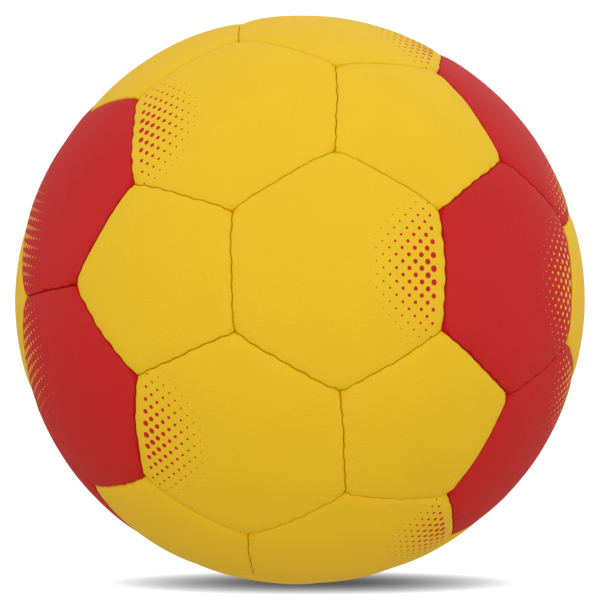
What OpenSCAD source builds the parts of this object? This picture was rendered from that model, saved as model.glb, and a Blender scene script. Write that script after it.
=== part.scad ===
// Handball with a hand-sewn cover of 12 pentagons and 20 hexagons round a rubber bladder.
// The origin is the ball's centre, +Z is up, and the ball rests on one small flat.

/* [Ball] */
// Distance round the ball, measured over the crowns of its panels
ball_circumference = 590; // [500:5:600]
// How far a panel's dome drops from its crown to the middle of a seam
panel_puff = 0.35; // [0.2:0.05:0.8]
// Width of the spot where the loaded ball flattens on the floor
contact_d = 12; // [8:1:16]

/* [Cover] */
// Thickness of the synthetic leather
skin_t = 1.2; // [0.9:0.1:1.6]
// Thickness of the foam under the leather
foam_t = 1.5; // [1:0.1:2.2]
// Thickness of the laminated cloth lining
lining_t = 1.2; // [0.8:0.1:1.6]

/* [Seams] */
// Radius that the leather rolls over as it turns into a seam
roll_r = 1.8; // [1.4:0.1:2.2]
// Gap between two panels in a seam
seam_gap = 0.2; // [0.1:0.05:0.3]
// Thickness of the waxed thread
thread_d = 0.9; // [0.6:0.1:1.2]
// How far the turned-in edges reach past the thread
edge_past_thread = 0.5; // [0.3:0.1:1]

/* [Bladder] */
// Thickness of the bladder's wall
bladder_t = 1; // [0.8:0.1:1.6]
// Clearance between the bladder and the turned-in edges
bladder_gap = 0.3; // [0.2:0.05:0.4]

/* [Valve] */
// Width of the valve's barrel, which comes out through the cover
barrel_d = 8.4; // [7.6:0.2:10]
// How far the valve's face lies below the crown of its panel
valve_sink = 0.4; // [0.2:0.1:0.8]
// Clearance round the barrel in the cover
barrel_gap = 0.15; // [0.1:0.05:0.3]
// Width of the flange that is bonded inside the bladder
flange_d = 26; // [20:1:34]
// Thickness of the flange
flange_t = 1.4; // [1:0.1:2]
// Length of the valve's tail inside the bladder
tail_l = 9; // [8:0.5:12]
// Thickness of the tail's closed end
tail_floor_t = 1.5; // [1:0.1:2]
// Width of the rubber insert
insert_d = 5; // [4.4:0.2:5.4]
// Width of the collar that locks the insert in the barrel
collar_d = 6.4; // [6:0.1:6.8]
// Height of the collar
collar_h = 1.6; // [1:0.1:2.4]
// Width of the hole for the inflating needle
needle_d = 2; // [1.6:0.1:2.4]
// Depth of the needle's hole
needle_l = 12; // [9:0.5:14]
// Width of the patch that strengthens the lining round the barrel
patch_d = 22; // [16:1:28]
// Thickness of the patch
patch_t = 0.8; // [0.5:0.1:1.2]

/* [Pose] */
// Lean of the line through the two end pentagons away from upright
pole_tilt = 88.5; // [85:0.5:95]
// Turn of that line about the upright
pole_yaw = -3; // [-10:0.5:10]
// Turn of the panels about that line
panel_spin = 11.8; // [8:0.2:16]

/* [Hidden] */
$fn = 96;

// The 32 panels are the faces of a truncated icosahedron blown up to a sphere
golden_ratio = (1 + sqrt(5)) / 2;
edge_ratio = 2 / sqrt(9 * pow(golden_ratio, 2) + 1);
half_edge_angle = asin(edge_ratio / 2);
per_ring = 5;
ring_step = 360 / per_ring;

// Polar angles of the rings, counted from the nearer end of the ball
ring_pentagon_angle = atan(2);
cap_hexagon_angle = acos(sqrt((5 + 2 * sqrt(5)) / 15));
mid_hexagon_angle = acos(sqrt((5 - 2 * sqrt(5)) / 15));

// Each ring is [name, sides, polar angle, first azimuth, twist about its own axis, copies]
END_PENTAGON = ["end_pentagon", 5, 0, 0, 0, 1];
CAP_HEXAGON = ["cap_hexagon", 6, cap_hexagon_angle, ring_step / 2, 30, per_ring];
RING_PENTAGON = ["ring_pentagon", 5, ring_pentagon_angle, 0, 180, per_ring];
MID_HEXAGON = ["mid_hexagon", 6, mid_hexagon_angle, ring_step / 2, 30, per_ring];
RINGS = [END_PENTAGON, CAP_HEXAGON, RING_PENTAGON, MID_HEXAGON];
ENDS = ["right", "left"];

function ring_azimuth(ring, i) = ring[3] + i * ring_step;
function panel_name(ring, end, i) = ring[5] == 1
  ? str(ring[0], "_", ENDS[end])
  : str(ring[0], "_", ENDS[end], "_", i + 1);

// Radii from the ball's centre
ball_r = ball_circumference / (2 * PI);
seam_r = ball_r - panel_puff;
layers_t = skin_t + foam_t + lining_t;
edge_r = seam_r - layers_t - thread_d - edge_past_thread;
bladder_r = edge_r - bladder_gap;
bladder_inner_r = bladder_r - bladder_t;

// Distances from the middle of a seam to the faces beside it
skin_inset = seam_gap / 2;
cloth_inset = skin_inset + skin_t;
thread_inset = cloth_inset + lining_t + thread_d / 2;
thread_r = seam_r - layers_t - thread_d / 2;

// How far a rolled edge bites past the faces that it blends, so that it never only grazes them
roll_bite = roll_r / 60;
// Overrun of every cutting shape
overrun = roll_r / 2;
// Clearance between rubber and cloth pieces that are only laid against each other
lay_gap = seam_gap / 4;

// Sizes of the valve along its own axis, counted from the ball's centre
valve_top = ball_r - valve_sink;
tail_end = bladder_inner_r - flange_t - tail_l;
insert_end = tail_end + tail_floor_t;
collar_top = valve_top - 2 * collar_h;
mouth_d = needle_d * 2;
mouth_h = needle_d / 2;
barrel_bevel = valve_sink / 2;

// The valve sits in this panel: ring, end and index
VALVE_PANEL = [RING_PENTAGON, 1, 4];

// The angle at a panel's centre, from its axis out to a corner and to the middle of a side
function corner_angle(n) = asin(edge_ratio / 2 / sin(180 / n));
function side_angle(n) = atan(tan(corner_angle(n)) * cos(180 / n));

// A panel's dome is a smaller sphere whose centre lies out along the panel's axis
function dome_shift(n) =
  (pow(ball_r, 2) - pow(seam_r, 2)) / (2 * (ball_r - seam_r * cos(side_angle(n))));
function dome_r(n) = ball_r - dome_shift(n);

// Directions in the ball's resting pose
function on_sphere(polar, azimuth) =
  [sin(polar) * cos(azimuth), sin(polar) * sin(azimuth), cos(polar)];
function leaned(v, angle) =
  [v.x * cos(angle) + v.z * sin(angle), v.y, v.z * cos(angle) - v.x * sin(angle)];
function yawed(v, angle) =
  [v.x * cos(angle) - v.y * sin(angle), v.x * sin(angle) + v.y * cos(angle), v.z];
function half_polar(end, polar) = end == 0 ? polar : 180 - polar;
function half_azimuth(end, azimuth) = end == 0 ? azimuth : ring_step / 2 - azimuth;
function panel_axis(ring, end, i) = yawed(
  leaned(
    on_sphere(half_polar(end, ring[2]), half_azimuth(end, ring_azimuth(ring, i)) + panel_spin),
    pole_tilt),
  pole_yaw);

// The lowest point of a panel's dome, and the floor that flattens the lowest panel
function dome_low(ring, end, i) =
  dome_shift(ring[1]) * panel_axis(ring, end, i).z - dome_r(ring[1]);
dome_lows = [
  for (ring = RINGS)
    for (end = [0, 1])
      for (i = [0:ring[5] - 1])
        dome_low(ring, end, i)
];
contact_rise = dome_r(6) - sqrt(pow(dome_r(6), 2) - pow(contact_d / 2, 2));
floor_z = min(dome_lows) + contact_rise;

// The whole ball in its resting pose, from a frame whose +Z runs through the right end pentagon
module posed() {
  rotate([0, pole_tilt, pole_yaw])
    rotate([0, 0, panel_spin])
      children();
}

// The left half is the right half after half a turn about a line across the ball
module on_end(end) {
  if (end == 0) children();
  else
    rotate([0, 0, ring_step / 4])
      rotate([180, 0, 0])
        rotate([0, 0, -ring_step / 4])
          children();
}

// Puts a panel made round +Z in its place on the ball
module at_panel(ring, end, i) {
  posed()
    on_end(end)
      rotate([0, ring[2], ring_azimuth(ring, i)])
        rotate([0, 0, ring[4]])
          children();
}

module at_valve() {
  at_panel(VALVE_PANEL[0], VALVE_PANEL[1], VALVE_PANEL[2])
    children();
}

// The pyramid between a panel's seams, with its sides moved in by an inset
module wedge(n, inset) {
  h = ball_r + overrun;
  translate([0, 0, inset / sin(side_angle(n))])
    cylinder(h = h, r1 = 0, r2 = h * tan(side_angle(n)) / cos(180 / n), $fn = n);
}

// The panel's dome at a depth under the leather, turned so that its poles lie off the panel
module dome(n, depth) {
  translate([0, 0, dome_shift(n)])
    rotate([90, 0, 0])
      sphere(r = dome_r(n) - depth);
}

module domed_wedge(n, depth, inset) {
  intersection() {
    dome(n, depth);
    wedge(n, inset);
  }
}

// What the leather leaves free outside its rolled edge, along one side of a panel
module roll_cut(n) {
  side_h = skin_inset - dome_shift(n) * sin(side_angle(n));
  roll_h = side_h + roll_r - roll_bite;
  reach = dome_r(n) - roll_r + roll_bite;
  roll_at = sqrt(pow(reach, 2) - pow(roll_h, 2));
  out_share = (reach + 3 * roll_r) / reach;
  span = 2 * half_edge_angle + 2 * roll_r / ball_r * 180 / PI;
  rotate([0, 0, 180 / n])
    translate([0, 0, dome_shift(n)])
      rotate([0, side_angle(n) - 90, 0])
        rotate([0, 0, -span / 2])
          rotate_extrude(angle = span)
            difference() {
              polygon([
                [roll_at, roll_h],
                [roll_at, side_h - overrun],
                [roll_at + 3 * roll_r, side_h - overrun],
                [roll_at * out_share, roll_h * out_share]
              ]);
              translate([roll_at, roll_h])
                circle(r = roll_r);
            }
}

// The domed block of a panel with its first sides rolled over, one after the other
module rolled_block(n, sides) {
  difference() {
    if (sides > 1) rolled_block(n, sides - 1);
    else domed_wedge(n, 0, skin_inset);
    rotate([0, 0, sides * 360 / n])
      roll_cut(n);
  }
}

// Leather: a dome whose edges turn in and run down into the seams
module leather_panel(n) {
  difference() {
    rolled_block(n, n);
    domed_wedge(n, skin_t, cloth_inset);
    sphere(r = edge_r);
  }
}

// Foam pad between the turned-in edges
module foam_pad(n) {
  difference() {
    domed_wedge(n, skin_t, cloth_inset);
    dome(n, skin_t + foam_t);
  }
}

// Cloth lining, with its own turned-in edges against those of the leather
module cloth_panel(n) {
  difference() {
    domed_wedge(n, skin_t + foam_t, cloth_inset);
    domed_wedge(n, layers_t, cloth_inset + lining_t);
    sphere(r = edge_r);
  }
}

// One run of thread along each side of a panel, in the corner under the lining
module thread_runs(n) {
  run_r = sqrt(pow(thread_r - lay_gap, 2) - pow(thread_inset + lay_gap, 2));
  short = thread_inset * tan(180 / n) + thread_d;
  span = 2 * (half_edge_angle - asin(short / run_r));
  for (k = [0:n - 1])
    rotate([0, 0, (k + 0.5) * 360 / n])
      rotate([0, side_angle(n) - 90, 0])
        translate([0, 0, thread_inset + lay_gap])
          rotate([0, 0, -span / 2])
            rotate_extrude(angle = span)
              translate([run_r, 0])
                circle(d = thread_d);
}

// The hole that lets the barrel through the cover
module barrel_hole() {
  cylinder(h = ball_r + overrun, r = barrel_d / 2 + barrel_gap);
}

// The ground, which flattens the lowest panel
module floor_cut() {
  translate([-ball_r, -ball_r, floor_z - 2 * ball_r])
    cube(2 * ball_r);
}

function is_valve_panel(ring, end, i) = [ring, end, i] == VALVE_PANEL;

module leather(ring, end, i) {
  difference() {
    at_panel(ring, end, i)
      leather_panel(ring[1]);
    if (is_valve_panel(ring, end, i)) at_valve() barrel_hole();
    if (dome_low(ring, end, i) < floor_z) floor_cut();
  }
}

// Every panel of one shape, as the layer that its children draw
module every_panel(n) {
  for (ring = RINGS)
    if (ring[1] == n)
      for (end = [0, 1])
        for (i = [0:ring[5] - 1])
          at_panel(ring, end, i)
            difference() {
              children();
              if (is_valve_panel(ring, end, i)) barrel_hole();
            }
}

module end_pentagon(end, i) {
  color("#F0CB2A") leather(END_PENTAGON, end, i);
}

module cap_hexagon(end, i) {
  color("#C4282D") leather(CAP_HEXAGON, end, i);
}

module ring_pentagon(end, i) {
  color("#F0CB2A") leather(RING_PENTAGON, end, i);
}

module mid_hexagon(end, i) {
  color("#F0CB2A") leather(MID_HEXAGON, end, i);
}

module foam_pentagons() {
  color("#EDE8DC") every_panel(5) foam_pad(5);
}

module foam_hexagons() {
  color("#EDE8DC") every_panel(6) foam_pad(6);
}

module lining_pentagons() {
  color("#D9D2C0") every_panel(5) cloth_panel(5);
}

module lining_hexagons() {
  color("#D9D2C0") every_panel(6) cloth_panel(6);
}

module thread_pentagons() {
  color("#F7F4EA") every_panel(5) thread_runs(5);
}

module thread_hexagons() {
  color("#F7F4EA") every_panel(6) thread_runs(6);
}

module bladder() {
  color("#2B2B2D")
    difference() {
      sphere(r = bladder_r);
      sphere(r = bladder_inner_r);
      at_valve() cylinder(h = ball_r, r = barrel_d / 2);
    }
}

// Cloth-backed rubber disc, laid against the lining round the barrel
module valve_patch() {
  color("#3A3A3C")
    at_valve()
      difference() {
        intersection() {
          dome(5, layers_t + lay_gap);
          cylinder(h = ball_r, r = patch_d / 2);
        }
        dome(5, layers_t + lay_gap + patch_t);
        barrel_hole();
      }
}

// Room for the insert: a straight hole with a groove for its collar
module insert_profile(gap) {
  translate([0, insert_end])
    square([insert_d / 2 + gap, valve_top - insert_end + overrun]);
  translate([0, collar_top - collar_h - gap])
    square([collar_d / 2 + gap, collar_h + 2 * gap]);
}

module valve_body() {
  color("#1F1F21")
    at_valve()
      rotate_extrude()
        difference() {
          union() {
            polygon([
              [0, tail_end],
              [barrel_d / 2, tail_end],
              [barrel_d / 2, valve_top - barrel_bevel],
              [barrel_d / 2 - barrel_bevel, valve_top],
              [0, valve_top]
            ]);
            difference() {
              intersection() {
                circle(r = bladder_inner_r);
                translate([0, tail_end]) square([flange_d / 2, ball_r]);
              }
              circle(r = bladder_inner_r - flange_t);
            }
          }
          insert_profile(lay_gap);
        }
}

module valve_insert() {
  color("#4A4A4D")
    at_valve()
      rotate_extrude()
        difference() {
          intersection() {
            insert_profile(0);
            translate([0, insert_end]) square([collar_d, valve_top - insert_end]);
          }
          translate([0, valve_top - needle_l])
            square([needle_d / 2, needle_l + overrun]);
          polygon([
            [0, valve_top - mouth_h - needle_d / 2],
            [mouth_d / 2, valve_top],
            [mouth_d / 2, valve_top + overrun],
            [0, valve_top + overrun]
          ]);
        }
}

for (end = [0, 1]) {
  end_pentagon(end, 0);
  for (i = [0:per_ring - 1]) {
    cap_hexagon(end, i);
    ring_pentagon(end, i);
    mid_hexagon(end, i);
  }
}
foam_pentagons();
foam_hexagons();
lining_pentagons();
lining_hexagons();
thread_pentagons();
thread_hexagons();
bladder();
valve_patch();
valve_body();
valve_insert();
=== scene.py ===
# %% [markdown]
# # A hand-sewn handball
#
# The ball has a cover of 32 pieces of synthetic leather, 12 pentagons and 20 hexagons, sewn
# inside out and turned. Each piece is a shallow dome whose edge rolls over and runs down into
# the seam. Under the leather lie a foam pad and a cloth lining, and inside them a rubber
# bladder with its valve.
#
# The measured solids of the ball come first. They are the fixed frame that every modelled
# piece is built around, so nothing here changes a size.

# %% The frame
import math
import random

import bpy
import numpy as np
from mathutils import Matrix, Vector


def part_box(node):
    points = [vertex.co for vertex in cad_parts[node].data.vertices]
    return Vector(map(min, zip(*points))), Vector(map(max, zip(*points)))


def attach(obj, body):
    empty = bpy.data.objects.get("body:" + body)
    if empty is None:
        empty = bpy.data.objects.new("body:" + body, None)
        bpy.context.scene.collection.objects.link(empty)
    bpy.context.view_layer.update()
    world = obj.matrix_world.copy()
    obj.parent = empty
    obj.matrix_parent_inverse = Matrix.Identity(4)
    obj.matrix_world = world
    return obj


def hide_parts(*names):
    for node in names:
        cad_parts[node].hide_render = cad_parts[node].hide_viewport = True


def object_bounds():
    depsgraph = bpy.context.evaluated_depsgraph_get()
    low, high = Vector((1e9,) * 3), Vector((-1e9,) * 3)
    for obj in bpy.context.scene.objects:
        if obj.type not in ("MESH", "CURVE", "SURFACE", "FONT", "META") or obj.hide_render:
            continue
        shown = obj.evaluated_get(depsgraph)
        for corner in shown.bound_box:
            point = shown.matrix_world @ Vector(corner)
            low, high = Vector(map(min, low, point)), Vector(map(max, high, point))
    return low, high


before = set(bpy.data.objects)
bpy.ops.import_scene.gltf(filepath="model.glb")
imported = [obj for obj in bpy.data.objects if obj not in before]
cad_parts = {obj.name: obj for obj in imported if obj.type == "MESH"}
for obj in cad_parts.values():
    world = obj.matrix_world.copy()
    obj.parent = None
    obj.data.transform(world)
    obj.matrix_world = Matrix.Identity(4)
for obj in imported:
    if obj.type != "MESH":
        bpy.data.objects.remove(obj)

cad_low, cad_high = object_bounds()
MM = 0.001

print("solids in the frame:", len(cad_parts))
print("the ball's box in mm:", [round((b - a) / MM, 1) for a, b in zip(cad_low, cad_high)])

# %% [markdown]
# Three radii of the ball can be read off the solids. The crown of a panel is the point that
# lies farthest from the centre, and the turned-in edge ends at the point that lies nearest to
# it. The bladder is a plain sphere, so half its box is its radius.

# %% Radii read off the solids
def distances(node):
    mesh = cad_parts[node].data
    points = np.zeros(len(mesh.vertices) * 3, np.float32)
    mesh.vertices.foreach_get("co", points)
    return np.linalg.norm(points.reshape(-1, 3), axis=1) / MM


ball_r = float(distances("end_pentagon_right").max())
edge_r = float(distances("end_pentagon_right").min())
bladder_low, bladder_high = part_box("bladder")
bladder_r = (bladder_high.x - bladder_low.x) / 2 / MM
floor_z = cad_low.z / MM

print("crown, edge and bladder radii in mm:", round(ball_r, 2), round(edge_r, 2), round(bladder_r, 2))
print("height of the floor in mm:", round(floor_z, 2))

# %% [markdown]
# ## Camera
#
# A long lens far away keeps the outline round and the panels evenly wide. The distance and the
# lens are worked out together: the ball's outline has to keep the radius that it has in the
# picture, and a sphere looks a little larger than its own radius because the lines of sight
# touch it in front of its middle.

# %% Camera
IMAGE_SIDE_PX = 600
OUTLINE_RADIUS_PX = 285
# How far the camera stands away, counted in radii of the ball.
CAMERA_AWAY = 13
CAMERA_RISE = math.radians(0.26)
CAMERA_ROUND = math.radians(-0.18)

focal_px = OUTLINE_RADIUS_PX * math.sqrt(CAMERA_AWAY**2 - 1)
camera_data = bpy.data.cameras.new("camera")
camera_data.lens = camera_data.sensor_width * focal_px / IMAGE_SIDE_PX
camera_data.clip_end = 100
camera = bpy.data.objects.new("camera", camera_data)
bpy.context.scene.collection.objects.link(camera)
distance = CAMERA_AWAY * ball_r * MM
level = distance * math.cos(CAMERA_RISE)
camera.location = (
    level * math.sin(CAMERA_ROUND),
    -level * math.cos(CAMERA_ROUND),
    distance * math.sin(CAMERA_RISE),
)
camera.rotation_euler = (math.pi / 2 - CAMERA_RISE, 0, CAMERA_ROUND)
bpy.context.scene.camera = camera

print("lens in mm:", round(camera_data.lens, 1), "and distance in m:", round(distance, 3))

# %% [markdown]
# ## Nodes
#
# The light and every finish are small networks of shader nodes. They could be drawn by hand in
# the shader editor, but written down they can be read and changed like the shapes. One
# function adds a node, sets it up, and gives each input a number or another node's output.

# %% One function for all nodes
def add_node(tree, kind, inputs=None, **settings):
    """Adds a node, sets its settings, and sets each input or links it to an output."""
    node = tree.nodes.new(kind)
    for name, value in settings.items():
        setattr(node, name, value)
    for name, value in (inputs or {}).items():
        if isinstance(value, bpy.types.NodeSocket):
            tree.links.new(value, node.inputs[name])
        else:
            node.inputs[name].default_value = value
    return node


kinds = [name for name in dir(bpy.types) if name.startswith("ShaderNode")]
print("kinds of node to choose from:", len(kinds))

# %% [markdown]
# ## Light
#
# The ball stands in a white light tent. Light comes from every side, most of it from the lamps
# above and in front, so there is no hard highlight and the ball only darkens gently towards
# its underside. Area lamps would give the same with more settings. One white world whose
# strength grows evenly towards the lamps is the plainest way: a dot product with the
# direction of the lamps turns every direction of the sky into a number from -1 to 1. The
# light from straight below has met the ball before and comes back a little yellow. One more
# lamp stands behind on the right and puts a faint sheen on the ball's upper right edge.

# %% Light tent
TO_LAMPS = (0.05, -0.79, 0.61)
DIM_SIDE = 0.39
LAMP_SIDE = 1.21
TO_BACK_LAMP = (0.62, 0.68, 0.39)
BACK_LAMP = 0.3
BACK_LAMP_FROM = 0.7
# Red, green, blue and alpha, already linear.
FROM_BELOW = (1.0, 0.9, 0.62, 1)
BELOW_FROM = -0.15
BELOW_FULL = -0.8


def light_tent():
    world = bpy.data.worlds.new("light_tent")
    world.use_nodes = True
    tree = world.node_tree
    tree.nodes.clear()
    sky_way = add_node(tree, "ShaderNodeTexCoord").outputs["Generated"]

    def light_towards(lamp_way, start, weakest, strongest):
        """Light that grows evenly, from a start, as the sky's direction nears a lamp's."""
        near = add_node(tree, "ShaderNodeVectorMath", {0: sky_way, 1: lamp_way}, operation="DOT_PRODUCT")
        grown = add_node(
            tree,
            "ShaderNodeMapRange",
            {"Value": near.outputs["Value"], "From Min": start, "To Min": weakest, "To Max": strongest},
        )
        return grown.outputs[0]

    lamps = light_towards(TO_LAMPS, -1.0, DIM_SIDE, LAMP_SIDE)
    back_lamp = light_towards(TO_BACK_LAMP, BACK_LAMP_FROM, 0.0, BACK_LAMP)
    strength = add_node(tree, "ShaderNodeMath", {0: lamps, 1: back_lamp}, operation="ADD")
    height = add_node(tree, "ShaderNodeSeparateXYZ", {0: sky_way}).outputs["Z"]
    below = add_node(
        tree,
        "ShaderNodeMapRange",
        {"Value": height, "From Min": BELOW_FROM, "From Max": BELOW_FULL},
    )
    warmth = add_node(
        tree,
        "ShaderNodeMix",
        {0: below.outputs[0], 6: (1, 1, 1, 1), 7: FROM_BELOW},
        data_type="RGBA",
    )
    cloth = add_node(
        tree,
        "ShaderNodeBackground",
        {"Color": warmth.outputs[2], "Strength": strength.outputs[0]},
    )
    add_node(tree, "ShaderNodeOutputWorld", {"Surface": cloth.outputs[0]})
    return world


bpy.context.scene.world = light_tent()
bpy.context.scene.view_settings.view_transform = "Standard"
print("light from the dim side and from the lamps:", DIM_SIDE, LAMP_SIDE)

# %% [markdown]
# ## Floor and backdrop
#
# The tent is exposed until its floor and walls are pure white, and only the small shade right under the ball
# is left of its shadow. A plain white floor in this light would pick up a yellow glow from the ball. So the
# floor shines by itself, and the ball's shadow on it is painted into that glow, as a rule of the distance
# from the point where the ball stands.
# Close to the point where a ball stands in even light, the light on the floor grows with the
# square of the distance from that point. Matched to the picture, it grows with a little more
# than the square. The shade is shorter from front to back than from side to side, and its
# middle lies a few millimetres behind that point and to the right.

# %% Light on the floor
TENT_WHITE = 1.1
SHADE_CORE = 0.09
SHADE_GROWTH = 2.05
SHADE_POWER = 1.2
SHADE_DEPTH = 1.38
SHADE_MIDDLE_MM = (4.4, 2.3)


def shining(name, strength):
    """A white material that gives off light, of one strength or of a strength from nodes."""
    material = bpy.data.materials.new(name)
    material.use_nodes = True
    tree = material.node_tree
    tree.nodes.clear()
    white = add_node(tree, "ShaderNodeEmission", {"Color": (1, 1, 1, 1), "Strength": strength(tree)})
    add_node(tree, "ShaderNodeOutputMaterial", {"Surface": white.outputs[0]})
    return material


def floor_shade(tree):
    """Painted shadow on the glowing floor: little light at the contact point, and more with the distance."""
    place = add_node(tree, "ShaderNodeTexCoord").outputs["Object"]
    across = 1 / (ball_r * MM)
    middle = [-SHADE_MIDDLE_MM[0] / ball_r, -SHADE_MIDDLE_MM[1] / ball_r * SHADE_DEPTH, 0]
    scaled = add_node(
        tree,
        "ShaderNodeMapping",
        {"Vector": place, "Location": middle, "Scale": (across, across * SHADE_DEPTH, 0)},
    ).outputs[0]
    squared = add_node(tree, "ShaderNodeVectorMath", {0: scaled, 1: scaled}, operation="DOT_PRODUCT")
    spread = add_node(
        tree,
        "ShaderNodeMath",
        {0: squared.outputs["Value"], 1: SHADE_POWER},
        operation="POWER",
    )
    light = add_node(
        tree,
        "ShaderNodeMath",
        {0: spread.outputs[0], 1: SHADE_GROWTH, 2: SHADE_CORE},
        operation="MULTIPLY_ADD",
    )
    lit = add_node(tree, "ShaderNodeMath", {0: light.outputs[0], 1: TENT_WHITE}, operation="MINIMUM")
    return lit.outputs[0]


# A floor that glows by itself, with the ball's shadow painted into the glow.
lit_floor = shining("lit_white_acrylic", floor_shade)
lit_walls = shining("lit_tent_cloth", lambda tree: TENT_WHITE)
print("materials of the tent:", lit_floor.name, lit_walls.name)

# %% [markdown]
# The floor is one flat sheet and the walls are a dome, so there is white behind the ball from
# every side. The camera alone sees them, because the world already stands for the light that
# they give the ball.

# %% Floor and backdrop
FLOOR_SIDE = 12
TENT_R = 8
WALL_RINGS = 12
WALL_SIDES = 48
WALL_STEP = math.radians(8)


def set_stage(name, points, faces, material):
    mesh = bpy.data.meshes.new(name)
    mesh.from_pydata(points, [], faces)
    mesh.materials.append(material)
    obj = bpy.data.objects.new(name, mesh)
    bpy.context.scene.collection.objects.link(obj)
    obj.visible_diffuse = False
    obj.visible_glossy = False
    obj.visible_transmission = False
    obj.visible_shadow = False
    return obj


def tent_walls():
    """A dome that stands on the floor, as points and faces."""
    points = [(0, 0, TENT_R)]
    for ring in range(1, WALL_RINGS + 1):
        across = TENT_R * math.sin(ring * WALL_STEP)
        height = TENT_R * math.cos(ring * WALL_STEP)
        for i in range(WALL_SIDES):
            around = 2 * math.pi * i / WALL_SIDES
            points.append((across * math.cos(around), across * math.sin(around), height))
    faces = [(0, 1 + i, 1 + (i + 1) % WALL_SIDES) for i in range(WALL_SIDES)]
    for ring in range(WALL_RINGS - 1):
        first = 1 + WALL_SIDES * ring
        for i in range(WALL_SIDES):
            j = (i + 1) % WALL_SIDES
            faces.append((first + i, first + WALL_SIDES + i, first + WALL_SIDES + j, first + j))
    return points, faces


half = FLOOR_SIDE / 2
corner_ways = ((-1, -1), (1, -1), (1, 1), (-1, 1))
floor_corners = [(half * x, half * y, floor_z * MM) for x, y in corner_ways]
set_stage("floor", floor_corners, [(0, 1, 2, 3)], lit_floor)
set_stage("backdrop", *tent_walls(), lit_walls)
print("floor laid at", round(floor_z, 2), "mm")

# %% [markdown]
# ## Where the panels lie
#
# The 32 panels are the faces of a truncated icosahedron, blown up to a sphere. Seen from one
# end pentagon they lie in rings of five, and the other half of the ball is the same half after
# half a turn. So a short list of rings is enough: the number of sides, the ring's angle from
# the end, its first place round the end, and the twist of a panel about its own axis.

# %% Rings of panels
GOLDEN_RATIO = (1 + math.sqrt(5)) / 2
EDGE_SHARE = 2 / math.sqrt(9 * GOLDEN_RATIO**2 + 1)
HALF_SEAM = math.asin(EDGE_SHARE / 2)
RING_STEP = math.radians(72)

POLE_TILT = math.radians(88.5)
POLE_YAW = math.radians(-3)
PANEL_SPIN = math.radians(11.8)

CAP_ANGLE = math.acos(math.sqrt((5 + 2 * math.sqrt(5)) / 15))
MID_ANGLE = math.acos(math.sqrt((5 - 2 * math.sqrt(5)) / 15))
# Name, sides, angle from the end, first place round it, twist, and panels in the ring.
RINGS = [
    ("end_pentagon", 5, 0, 0, 0, 1),
    ("cap_hexagon", 6, CAP_ANGLE, RING_STEP / 2, math.pi / 6, 5),
    ("ring_pentagon", 5, math.atan(2), 0, math.pi, 5),
    ("mid_hexagon", 6, MID_ANGLE, RING_STEP / 2, math.pi / 6, 5),
]


def turn(axis, angle):
    """The 3 by 3 matrix of a turn about the x, y or z axis."""
    c = math.cos(angle)
    s = math.sin(angle)
    i, j = {"x": (1, 2), "y": (2, 0), "z": (0, 1)}[axis]
    matrix = np.eye(3)
    matrix[i, i] = matrix[j, j] = c
    matrix[i, j] = -s
    matrix[j, i] = s
    return matrix


POSED = turn("z", POLE_YAW) @ turn("y", POLE_TILT) @ turn("z", PANEL_SPIN)
HALF_TURN = turn("z", RING_STEP / 4) @ turn("x", math.pi) @ turn("z", -RING_STEP / 4)


def all_panels():
    """Every panel's node name, its number of sides, and the matrix that puts it on the ball."""
    panels = []
    for name, sides, polar, first, twist, copies in RINGS:
        for end in ("right", "left"):
            half = np.eye(3) if end == "right" else HALF_TURN
            for i in range(copies):
                place = turn("z", first + i * RING_STEP) @ turn("y", polar)
                matrix = POSED @ half @ place @ turn("z", twist)
                number = f"_{i + 1}" if copies > 1 else ""
                panels.append({"name": f"{name}_{end}{number}", "sides": sides, "matrix": matrix})
    return panels


PANELS = all_panels()
missing = [panel["name"] for panel in PANELS if panel["name"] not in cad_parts]
print("panels:", len(PANELS), "of which not in the frame:", len(missing))

# %% [markdown]
# ## The shape of one panel
#
# A panel could be cut from a sphere with boolean cuts, but then its edge would stay sharp. It
# could also be modelled once by hand and copied, but then all seams would look alike. Here it
# is drawn as a stack of closed rings instead. Each ring runs parallel to the seams at its own
# distance from them and at its own depth under the dome. The first rings draw the dome, the
# next ones the quarter round of the rolled edge, and the last ones go down the seam, turn
# under, and come back on the inner face, so that the panel is one closed piece of leather.

# %% Sizes of the cover
SKIN_T = 1.2
FOAM_T = 1.5
LINING_T = 1.2
PANEL_PUFF = 0.35
ROLL_R = 0.62
PILLOW = 0.6
PILLOW_REACH = 2.4
HALF_GAP = 0.05
BARREL_HOLE_R = 4.35
VALVE_PANEL = "ring_pentagon_left_5"

seam_r = ball_r - PANEL_PUFF


def corner_angle(n):
    return math.asin(EDGE_SHARE / 2 / math.sin(math.pi / n))


def side_angle(n):
    return math.atan(math.tan(corner_angle(n)) * math.cos(math.pi / n))


def dome_shift(n):
    """How far the centre of a panel's dome lies out along the panel's axis."""
    return (ball_r**2 - seam_r**2) / (2 * (ball_r - seam_r * math.cos(side_angle(n))))


seam_length = 2 * HALF_SEAM * seam_r
print("length of one seam in mm:", round(seam_length, 2))

# %% [markdown]
# ## How a sewn seam looks
#
# The two panels of a seam are pulled together by six stitches, 5.6 mm apart. At each hole the
# leather is pinched down, between two holes it swells up again, and the pull of the thread
# draws the dark line between the panels a little from side to side. Both panels have to agree
# on that line, or they would overlap, so it belongs to the seam and not to the panel. Each
# seam gets its own number, and that number seeds its small irregularities. The two panels run
# along it in opposite directions, so the second one reads it backwards and with the other sign.
#
# Some seams are drawn tighter than others. In a tight one the edges roll over in a small
# radius and the line is fine, in a loose one the radius and the line are wider. At a corner
# three edges roll over together, so the radius grows there and leaves a small pit.

# %% Seams and their numbers
# Two middles that lie this close, in radii of the ball, belong to one seam.
SAME_PLACE = 0.001

seam_middles = []


def seam_number(middle):
    for number, known in enumerate(seam_middles):
        if np.linalg.norm(known - middle) < SAME_PLACE:
            return number
    seam_middles.append(middle)
    return len(seam_middles) - 1


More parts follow.
